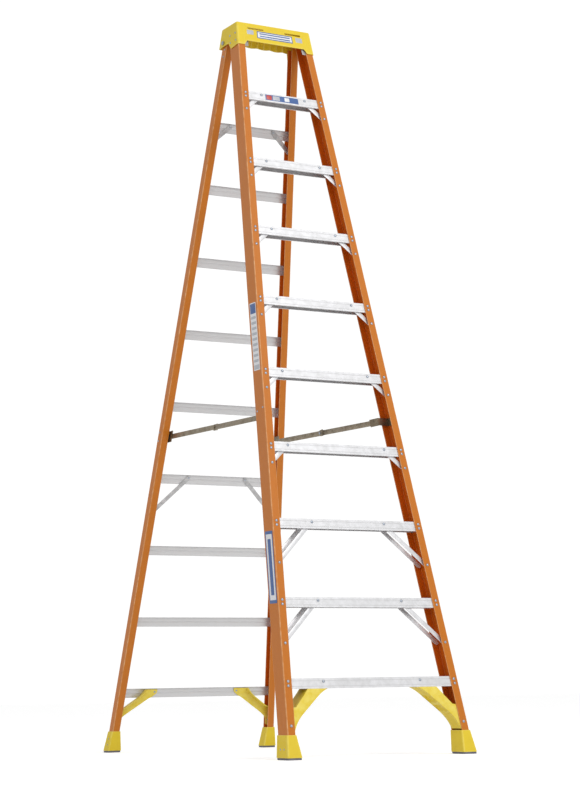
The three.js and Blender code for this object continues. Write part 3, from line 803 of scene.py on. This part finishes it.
def pads(stand, name):
    """The pad under a boot: a rounded slab."""
    outer = stand.half + BOOT_WALL + FLARE_OUT - PAD_INSET
    inner = stand.half - FLANGE - BOOT_WALL - FLARE_IN + PAD_INSET
    front = -BOOT_WALL * 0.6 - FLARE_ALONG + PAD_INSET
    back = stand.depth - front
    ring = rounded_box(inner, outer, front, back, 4, 6)
    grid = stand.lean(slab(ring, 0, PAD_THICK - GAP, 0.8, UP))
    pair(f"{name}_pad_slab", grid, RUBBER, stand.body, f"{name}_foot_pad")


for footed, footed_name in ((FRONT, "front"), (REAR, "rear")):
    boots(footed, footed_name)
    pads(footed, footed_name)

# ---- cap ----

CAP_DEPTH = 130
CAP_REAR_SLOPE = 0.25


def cap_edge_height(x, y, front, rear):
    """The height of the cap's lower edge above its base, at a place on the wall.

    The front edge steps up between its two legs, the rear edge is high with scallops, and each side edge
    falls to a point behind the front rail, steps up over a notch and falls again to the rear corner.
    """
    front_edge = np.interp(np.abs(x), [0, 135, 148, 200], [26, 26, 7, 7])
    scallop = 3.5 * np.abs(np.sin(x * np.pi / 62))
    rear_edge = np.interp(np.abs(x), [0, 147, 151, 200], [57, 57, 28, 28]) - scallop * (np.abs(x) < 146)
    side_edge = np.interp(y, [front, -20, 5, rear], [7, 0.5, 31, 29])
    on_front = y < front + 9
    on_rear = y > rear - 9
    return np.where(on_front, front_edge, np.where(on_rear, rear_edge, side_edge))


def cap_shell():
    """The cap: a thin wall round a rounded rectangle that narrows with height, under a flat top.

    One grid runs round the wall. Across it the rows go up the inside, over the lower edge, up the
    outside, round the top's edge and in to the middle, and the lower edge follows its own height.
    """
    front = FRONT.face_at(CAP_BASE) - CAP_WALL - GAP
    rear = FRONT.face_at(CAP_TOP) - CAP_WALL - GAP + CAP_DEPTH + CAP_REAR_SLOPE * (CAP_TOP - CAP_BASE)
    side = FRONT.web_at(CAP_BASE) + CAP_WALL + 2 * GAP
    dense = resampled(rounded_box(-side, side, front, rear, 8, 8), 900)
    edge = cap_edge_height(dense[:, 0], dense[:, 1], front, rear)
    full = CAP_TOP - CAP_BASE

    inward = inset(dense, 1.0) - dense
    ridges = 3 * np.maximum(np.cos(dense[:, 0] * np.pi / 15.5), 0) ** 2 * (dense[:, 1] > rear - 1)
    ridges *= np.abs(dense[:, 0]) < 140

    def row(cut, rise, ridged=0.0):
        ring = inset(dense, cut) if cut else dense.copy()
        ring += inward * (ridges * ridged)[:, None]
        out = np.insert(ring, UP, CAP_BASE + rise, 1)
        back = (out[:, 1] - front) / (rear - front)
        out[:, 0] *= 1 - TAPER * rise / side
        out[:, 1] += (SLOPE - (SLOPE + CAP_REAR_SLOPE) * back) * rise
        return out

    inner_top = full - CAP_WALL
    rows = [row(CAP_WALL + 1.5, np.full(len(dense), inner_top))]
    inside = ((1, 0), (0.9, 1), (0.5, 1), (0.06, 1), (0, 0))
    rows += [row(CAP_WALL, edge * (1 - part) + (inner_top - 1.5) * part, high) for part, high in inside]
    rows += [row(CAP_WALL - 0.6, edge - 0.5), row(0.6, edge - 0.5)]
    rows += [row(0, edge * (1 - part) + (full - 5) * part) for part in (0, 0.1, 0.5, 0.9, 1)]
    for angle in np.linspace(0, np.pi / 2, 6)[1:]:
        rows.append(row(4 * (1 - np.cos(angle)), np.full(len(dense), full - 5 + 5 * np.sin(angle))))
    grid = np.array(rows)
    for index, height in ((0, CAP_BASE + inner_top), (-1, CAP_TOP)):
        grid[index, :, 2] = height
    return grid


def bored(piece, cutters):
    """Cuts closed shapes out of a piece, then removes them."""
    for cutter in cutters:
        cut = piece.modifiers.new("cut", "BOOLEAN")
        cut.object = cutter
        cut.solver = "EXACT"
    bpy.context.view_layer.update()
    graph = bpy.context.evaluated_depsgraph_get()
    finished = bpy.data.meshes.new_from_object(piece.evaluated_get(graph), depsgraph=graph)
    finished.name = piece.data.name
    piece.modifiers.clear()
    piece.data = finished
    for cutter in cutters:
        bpy.data.objects.remove(cutter)


def cutter_from(grid):
    """A closed shape that is only there to be cut out of a piece."""
    grid = shut(grid)
    return linked("cutter", lay_mesh("cutter", grid, grid_faces(*grid.shape[:2])))


def make_cap():
    """The cap with its two narrow slots in the front skirt."""
    cap = carried("cap_shell", cap_shell(), YELLOW, "front_frame", ("top_cap",), 40)
    height = CAP_TOP - 24
    slots = [rounded_box(x - 37, x + 37, height - 4, height + 4, 1.5, 4) for x in (-87, 87)]
    bored(cap, [cutter_from(slab(ring, -120, -45, 0.1, BACK)) for ring in slots])


make_cap()

# ---- cap's inner brackets ----


def inner_brackets():
    """A small grey plate inside the cap, behind each front rail's flange and reaching inward of it."""
    low = CAP_BASE + 2
    lip = FRONT.half - FLANGE
    ring = rounded_box(lip - 17, lip + 10, low, low + 60, 3, 4)
    grid = FRONT.lean(slab(ring, WALL + 0.4, WALL + 2.6, 0.5, BACK))
    pair("cap_inner_bracket", grid, DULL_METAL, "front_frame")


inner_brackets()

# ---- spreader ----

frame_joints = {joint["name"]: joint for joint in frame["joints"]}
FRONT_PIVOT = np.array(frame_joints["spreader_front_right"]["pos_m"]) / MM
REAR_PIVOT = np.array(frame_joints["spreader_rear_right"]["pos_m"]) / MM
BAR_HALF = 10.5
BAR_THICK = 3
FRONT_BAR_LENGTH = 404.6


def spreader_plane(grid, sign):
    """Leans a shape with the taper, about the height of the front pivot, on one side of the ladder."""
    out = np.array(grid, float)
    out[..., 0] -= TAPER * (out[..., 2] - FRONT_PIVOT[2])
    return out * [sign, 1, 1]


def spreader_part(part, body, ring, back, front, edge, sign, nodes=()):
    """A flat bronzed shape on one bar, between two distances from the ladder's middle."""
    grid = spreader_plane(slab(ring, back, front, edge, ACROSS), sign)
    carried(f"{body}_{part}", grid, BRONZE, body, nodes)


def spreader_bars():
    """Flat bars with round ends along the line between the two pivots, each with a raised middle line."""
    way = unit(REAR_PIVOT[1:] - FRONT_PIVOT[1:])
    middle = FRONT_PIVOT[1:] + way * FRONT_BAR_LENGTH
    rear_x = REAR_PIVOT[0] + TAPER * (REAR_PIVOT[2] - FRONT_PIVOT[2])
    for place, pivot, x in (("front", FRONT_PIVOT, FRONT_PIVOT[0]), ("rear", REAR_PIVOT, rear_x)):
        ring = round_end_strip(pivot[1:], middle, BAR_HALF, BAR_HALF, 13)
        toward = 1 if place == "front" else -1
        bead = round_end_strip(pivot[1:] + way * 40 * toward, middle - way * 30 * toward, 2.4, 2.4, 7)
        for side, sign in SIDES.items():
            body = f"spreader_{place}_bar_{side}"
            face = x - BAR_THICK / 2
            spreader_part("strip", body, ring, face, x + BAR_THICK / 2, 0.8, sign, (body,))
            spreader_part("bead", body, bead, face - 0.7, face + 0.2, 0.5, sign)
    return middle, way


def middle_joints(middle, way):
    """A rivet head on both faces of each middle joint, the widened end under it, and a stop tab."""
    x = FRONT_PIVOT[0]
    aside = np.array([-way[1], way[0]])
    start = middle - way * 22
    end = start + way * 4
    tab = rounded([start - aside * 13, end - aside * 13, end + aside * 14, start + aside * 14], 1, 3)
    lug = round_end_strip(middle - way * 16, middle, 13, 13, 9)
    for side, sign in SIDES.items():
        body = f"spreader_front_bar_{side}"
        face = spreader_plane([[x + 1.5, *middle], [x - 6.2, *middle]], sign)
        turned = [[sign, 0, TAPER], [-sign, 0, -TAPER]]
        merged_rounds(f"{body}_rivet", face, turned, dome(5.5, 3.2), ZINC, body)
        spreader_part("lug", body, lug, x - 2.6, x - 1.4, 0.4, sign)
        spreader_part("stop", body, tab, x - 7, x - 1.6, 0.5, sign)


# ---- rivets ----


def dome(radius, height, skirt=0.5):
    """A rivet head's profile: a short straight skirt and then an arc in to a small flat."""
    turn = np.linspace(0, np.pi / 2 * 0.86, 5)
    arc = np.stack([radius * np.cos(turn), skirt + (height - skirt) * np.sin(turn)], 1)
    return np.vstack([[radius, -0.6], arc])


class RivetBag:
    """Collects the rivets of one size on one body that all face the same way."""

    def __init__(self, stand, normal):
        self.stand = stand
        self.normal = np.array(normal)
        self.places = []
        self.normals = []

    def add(self, x, y, z):
        """One rivet on each side of the ladder, at upright coordinates."""
        for sign in (1, -1):
            self.places.append(self.stand.lean([[sign * x, y, z]])[0])
            self.normals.append(self.normal * [sign, 1, 1])

    def make(self, name, radius, height):
        head = dome(radius, height)
        merged_rounds(name, self.places, self.normals, head, ZINC, self.stand.body)


ARCH_RIVET_INWARD = 166


def front_rivets():
    """Two rivets at each step's end, front and back, and one at each end of its braces."""
    flange = RivetBag(FRONT, [0, -1, SLOPE])
    behind = RivetBag(FRONT, [0, 1, -SLOPE])
    inward = FRONT.half - RIVET_INWARD
    for number in range(1, STEP_COUNT + 1):
        top = step_top(number)
        for down in (10, 26):
            flange.add(inward, 0, top - down)
            behind.add(inward, FRONT.depth, top - down)
        size = LONG if number < 4 else SHORT
        reach = ARCH_RIVET_INWARD if number == 1 else size["inward"]
        down = size["down"]
        flange.add(FRONT.half - reach, STEP_FRONT, top - RIVET_DOWN)
        flange.add(inward, 0, top - down)
        if number < 4:
            behind.add(FRONT.half - reach, STEP_BACK, top - RIVET_DOWN)
            behind.add(inward, FRONT.depth, top - down)
    flange.make("front_flange_rivets", 5.6, 3.6)
    behind.make("front_rear_flange_rivets", 4.8, 3.2)


def rear_rivets():
    """Two rivets at each rear bar's end, on both faces, and those of the straps and corner braces."""
    inside = RivetBag(REAR, [0, -1, -SLOPE])
    outside = RivetBag(REAR, [0, 1, SLOPE])
    inward = REAR.half - RIVET_INWARD
    for number in range(1, STEP_COUNT + 1):
        top = bar_top(number)
        for down in (11, 27):
            inside.add(inward, BAR_FACE, top - down)
            outside.add(inward, REAR.depth, top - down)
        if number in (4, 9):
            size = LONG if number == 4 else SHORT
            face = BAR_FACE - 1 - STRAP_THICK
            inside.add(REAR.half - size["inward"], face, top - RIVET_DOWN)
            inside.add(inward, face, top - size["down"])
            outside.add(inward, REAR.depth, top - size["down"])
    brace_face = BAR_FACE - 1.2 - GAP - 3
    lip = REAR.half - FLANGE
    inside.add(lip - 145, brace_face, FIRST_BAR_TOP - 15)
    inside.add(lip + 14, brace_face, FIRST_BAR_TOP - 142)
    outside.add(lip + 14, REAR.depth, FIRST_BAR_TOP - 142)
    inside.make("rear_inner_rivets", 4.2, 2.2)
    outside.make("rear_flange_rivets", 4.2, 2.2)


def web_rivets():
    """The rivets on the outer faces: spreader brackets, the cap's sides and the rear rails under it."""
    outward = [1, 0, TAPER]
    front = RivetBag(FRONT, outward)
    for y, z in ((57, 1297), (13, 1308)):
        front.add(FRONT.half, y, z)
    wall = FRONT.half + CAP_WALL + 2 * GAP
    for height in (2916, 2883):
        for place in (-23, 23):
            front.add(wall, FRONT.depth / 2 + place, height)
    front.make("front_web_rivets", 4.4, 2.2)
    rear = RivetBag(REAR, outward)
    for y, z in ((REAR.depth / 2 - 4, 2875), (REAR.depth / 2 - 4, 2846), (27, 1319), (27, 1284)):
        rear.add(REAR.half, y, z)
    rear.make("rear_web_rivets", 4.4, 2.2)


def boot_rivets():
    """Two small rivets on each boot's outer face."""
    for stand, places in ((FRONT, ((0.32, 30), (0.68, 30))), (REAR, ((0.5, 26), (0.5, 50)))):
        small = RivetBag(stand, [1, 0, 0.15])
        for share, up in places:
            low = 1 - up / (BOOT_TOP - PAD_THICK)
            x = stand.half + BOOT_WALL + FLARE_OUT * low - PANEL_SUNK
            small.add(x, stand.depth * share, up + PAD_THICK)
        small.make(f"{stand.body}_boot_rivets", 3.4, 1.6)


middle_joints(*spreader_bars())
front_rivets()
rear_rivets()
web_rivets()
boot_rivets()

# ---- plain decals ----


def decal_look(name, ground):
    """Printed film: one colour, very slightly uneven."""
    look = Look(name)
    look.colour(look.ramp(look.pattern(60, 3), [(0.3, tuple(0.94 * c for c in ground)), (0.7, ground)]))
    look.dullness(look.spread(look.pattern(200, 2), 0.28, 0.42))
    look.bump(look.pattern(500, 2), 0.05, 0.0003)
    return look.material


WHITE_INK = decal_look("white_decal", (0.80, 0.81, 0.83))
BLUE_INK = decal_look("blue_decal", (0.06, 0.13, 0.34))
RED_INK = decal_look("red_decal", (0.55, 0.07, 0.05))
SILVER_INK = decal_look("silver_decal", (0.48, 0.50, 0.54))


def patch(name, box, depth, order, place, ink):
    """A thin patch with rounded corners. The box is left, right, bottom, top; the depth is back, front."""
    left, right, bottom, top = box
    ring = rounded_box(left, right, bottom, top, min(2.5, (top - bottom) / 3), 4)
    carried(name, place(slab(ring, depth[0], depth[1], 0.08, order)), ink, "front_frame")


def rail_labels():
    """A tall label on the left front rail's outer face, and a square mark lower down."""

    def on_web(grid):
        return FRONT.lean(grid) * [-1, 1, 1]

    near, far = FRONT.half - 0.1, FRONT.half + 0.3
    patches = [
        ("label_ground", (12, 60, 1459, 1735), WHITE_INK, 0),
        ("label_head", (15, 57, 1690, 1731), BLUE_INK, 0.2),
        ("label_foot", (15, 57, 1463, 1481), SILVER_INK, 0.2),
    ]
    for row in range(9):
        low = 1492 + 22 * row
        patches.append((f"label_bar_{row + 1}", (17, 55, low, low + 11), SILVER_INK, 0.2))
    patches += [
        ("mark_ground", (8, 64, 560, 830), BLUE_INK, 0),
        ("mark_panel", (14, 58, 572, 818), WHITE_INK, 0.2),
        ("mark_stripe", (24, 48, 590, 800), BLUE_INK, 0.4),
    ]
    for name, box, ink, lift in patches:
        patch(f"rail_{name}", box, (near, far + lift), ACROSS, on_web, ink)


def front_labels():
    """A barred mark in the middle of the cap's front, and a label on the top step's face."""
    face = -CAP_WALL - GAP
    end = FRONT.half

    def across(grid):
        return FRONT.lean_across(grid, end)

    low = CAP_BASE + 44
    for name, box, ink, lift in (
        ("cap_mark_ground", (-192, 192, low, low + 32), BLUE_INK, 0),
        ("cap_mark_panel", (-184, 184, low + 4, low + 28), WHITE_INK, 0.2),
        ("cap_mark_bar_1", (-165, 165, low + 8, low + 13), BLUE_INK, 0.4),
        ("cap_mark_bar_2", (-165, 165, low + 19, low + 24), BLUE_INK, 0.4),
        ("cap_square_left", (-300, -228, low + 12, low + 32), SILVER_INK, 0),
        ("cap_square_right", (228, 300, low + 8, low + 30), SILVER_INK, 0),
    ):
        patch(name, box, (face - 0.3 - lift, face + 0.1), BACK, across, ink)
    top = step_top(STEP_COUNT)
    for name, box, ink, lift in (
        ("step_label_ground", (-170, 144, top - 31, top - 6), BLUE_INK, 0),
        ("step_label_end", (-160, -110, top - 28, top - 9), RED_INK, 0.2),
        ("step_label_middle", (-100, -34, top - 28, top - 9), SILVER_INK, 0.2),
        ("step_label_panel", (12, 58, top - 27, top - 10), WHITE_INK, 0.2),
    ):
        patch(name, box, (STEP_FRONT - 0.3 - lift, STEP_FRONT + 0.1), BACK, across, ink)


rail_labels()
front_labels()

# ---- hinge bolts and brackets keep their solids and get their finishes ----

for side_name in SIDES:
    for node_name, finish in (
        ("hinge_bolt", ZINC), ("spreader_front_bracket", BRONZE), ("spreader_rear_bracket", BRONZE),
    ):
        solid = frame["nodes"][f"{node_name}_{side_name}"]
        solid.data.materials.clear()
        solid.data.materials.append(finish)

# ---- floor, light and camera ----

CAMERA_PLACE = [-3.9601, -7.1395, 0.2478]
YAW, PITCH_UP, ROLL = np.radians([29.5112, 8.1468, -1.0220])
FOCAL_LENGTH = 91.80271016

def wire(tree, pairs):
    for output, socket in pairs:
        tree.links.new(output, socket)


def stage_floor():
    """A pale floor that glows to the camera and to reflections, and is plain to all other light."""
    mesh = bpy.data.meshes.new("floor")
    corners = ((-40, -40), (40, -40), (40, 40), (-40, 40))
    mesh.from_pydata([(x, y, -0.0005) for x, y in corners], [], [(0, 1, 2, 3)])
    floor = linked("floor", mesh)
    look = Look("pale_floor")
    tone = look.pattern(2, 3)
    look.colour(look.ramp(tone, [(0.3, (0.90, 0.90, 0.90)), (0.7, (0.92, 0.92, 0.92))]))
    look.dullness(look.spread(tone, 0.8, 0.9))
    look.value("Specular IOR Level", 0.1)
    look.value("Emission Color", (1, 1, 1, 1))
    look.value("Emission Strength", 0.3)
    dim = look.node("ShaderNodeBsdfDiffuse")
    dim.inputs["Color"].default_value = (0.85, 0.85, 0.85, 1)
    path = look.node("ShaderNodeLightPath")
    seen = look.node("ShaderNodeMath", operation="MAXIMUM")
    mix = look.node("ShaderNodeMixShader")
    wire(look.tree, (
        (path.outputs["Is Camera Ray"], seen.inputs[0]),
        (path.outputs["Is Glossy Ray"], seen.inputs[1]),
        (seen.outputs[0], mix.inputs[0]),
        (dim.outputs[0], mix.inputs[1]),
        (look.shader.outputs[0], mix.inputs[2]),
        (mix.outputs[0], look.tree.nodes["Material Output"].inputs["Surface"]),
    ))
    mesh.materials.append(look.material)


def stage_light():
    """A white surround, brightest overhead and dim below, with a broad lamp high in front."""
    world = bpy.data.worlds.new("white_surround")
    bpy.context.scene.world = world
    world.use_nodes = True
    tree = world.node_tree
    nodes = tree.nodes
    seen = nodes["Background"]
    seen.inputs["Color"].default_value = (1, 1, 1, 1)
    seen.inputs["Strength"].default_value = 1.05
    sky = nodes.new("ShaderNodeTexCoord")
    split = nodes.new("ShaderNodeSeparateXYZ")
    height = nodes.new("ShaderNodeMapRange")
    for socket, number in zip(height.inputs[1:5], (-0.3, 0.3, 0.68, 0.95)):
        socket.default_value = number
    glow = nodes.new("ShaderNodeBackground")
    path = nodes.new("ShaderNodeLightPath")
    mix = nodes.new("ShaderNodeMixShader")
    wire(tree, (
        (sky.outputs["Generated"], split.inputs[0]),
        (split.outputs["Z"], height.inputs[0]),
        (height.outputs[0], glow.inputs["Strength"]),
        (path.outputs["Is Camera Ray"], mix.inputs[0]),
        (glow.outputs[0], mix.inputs[1]),
        (seen.outputs[0], mix.inputs[2]),
        (mix.outputs[0], nodes["World Output"].inputs["Surface"]),
    ))
    lamp = bpy.data.lights.new("key", "AREA")
    lamp.energy = 225
    lamp.size = 3.5
    key = linked("key", lamp)
    key.location = (1.0, -6.5, 6.0)
    away = key.location - Vector((0, 0, 2.2))
    key.rotation_euler = away.to_track_quat("Z", "Y").to_euler()


def stage_camera():
    """A long lens low down in front and to the left, tipped a little up and rolled a little."""
    level = np.array([np.cos(YAW), -np.sin(YAW), 0])
    flat = np.cos(PITCH_UP)
    ahead = np.array([flat * np.sin(YAW), flat * np.cos(YAW), np.sin(PITCH_UP)])
    above = np.cross(level, ahead)
    right = np.cos(ROLL) * level + np.sin(ROLL) * above
    up = -np.sin(ROLL) * level + np.cos(ROLL) * above
    lens = bpy.data.cameras.new("camera")
    lens.sensor_width = 36
    lens.lens = FOCAL_LENGTH
    lens.clip_end = 200
    camera = linked("camera", lens)
    columns = np.column_stack([right, up, -ahead, CAMERA_PLACE])
    camera.matrix_world = Matrix(np.vstack([columns, [0, 0, 0, 1]]).tolist())
    bpy.context.scene.camera = camera


stage_floor()
stage_light()
stage_camera()
bpy.context.scene.view_settings.view_transform = "Standard"
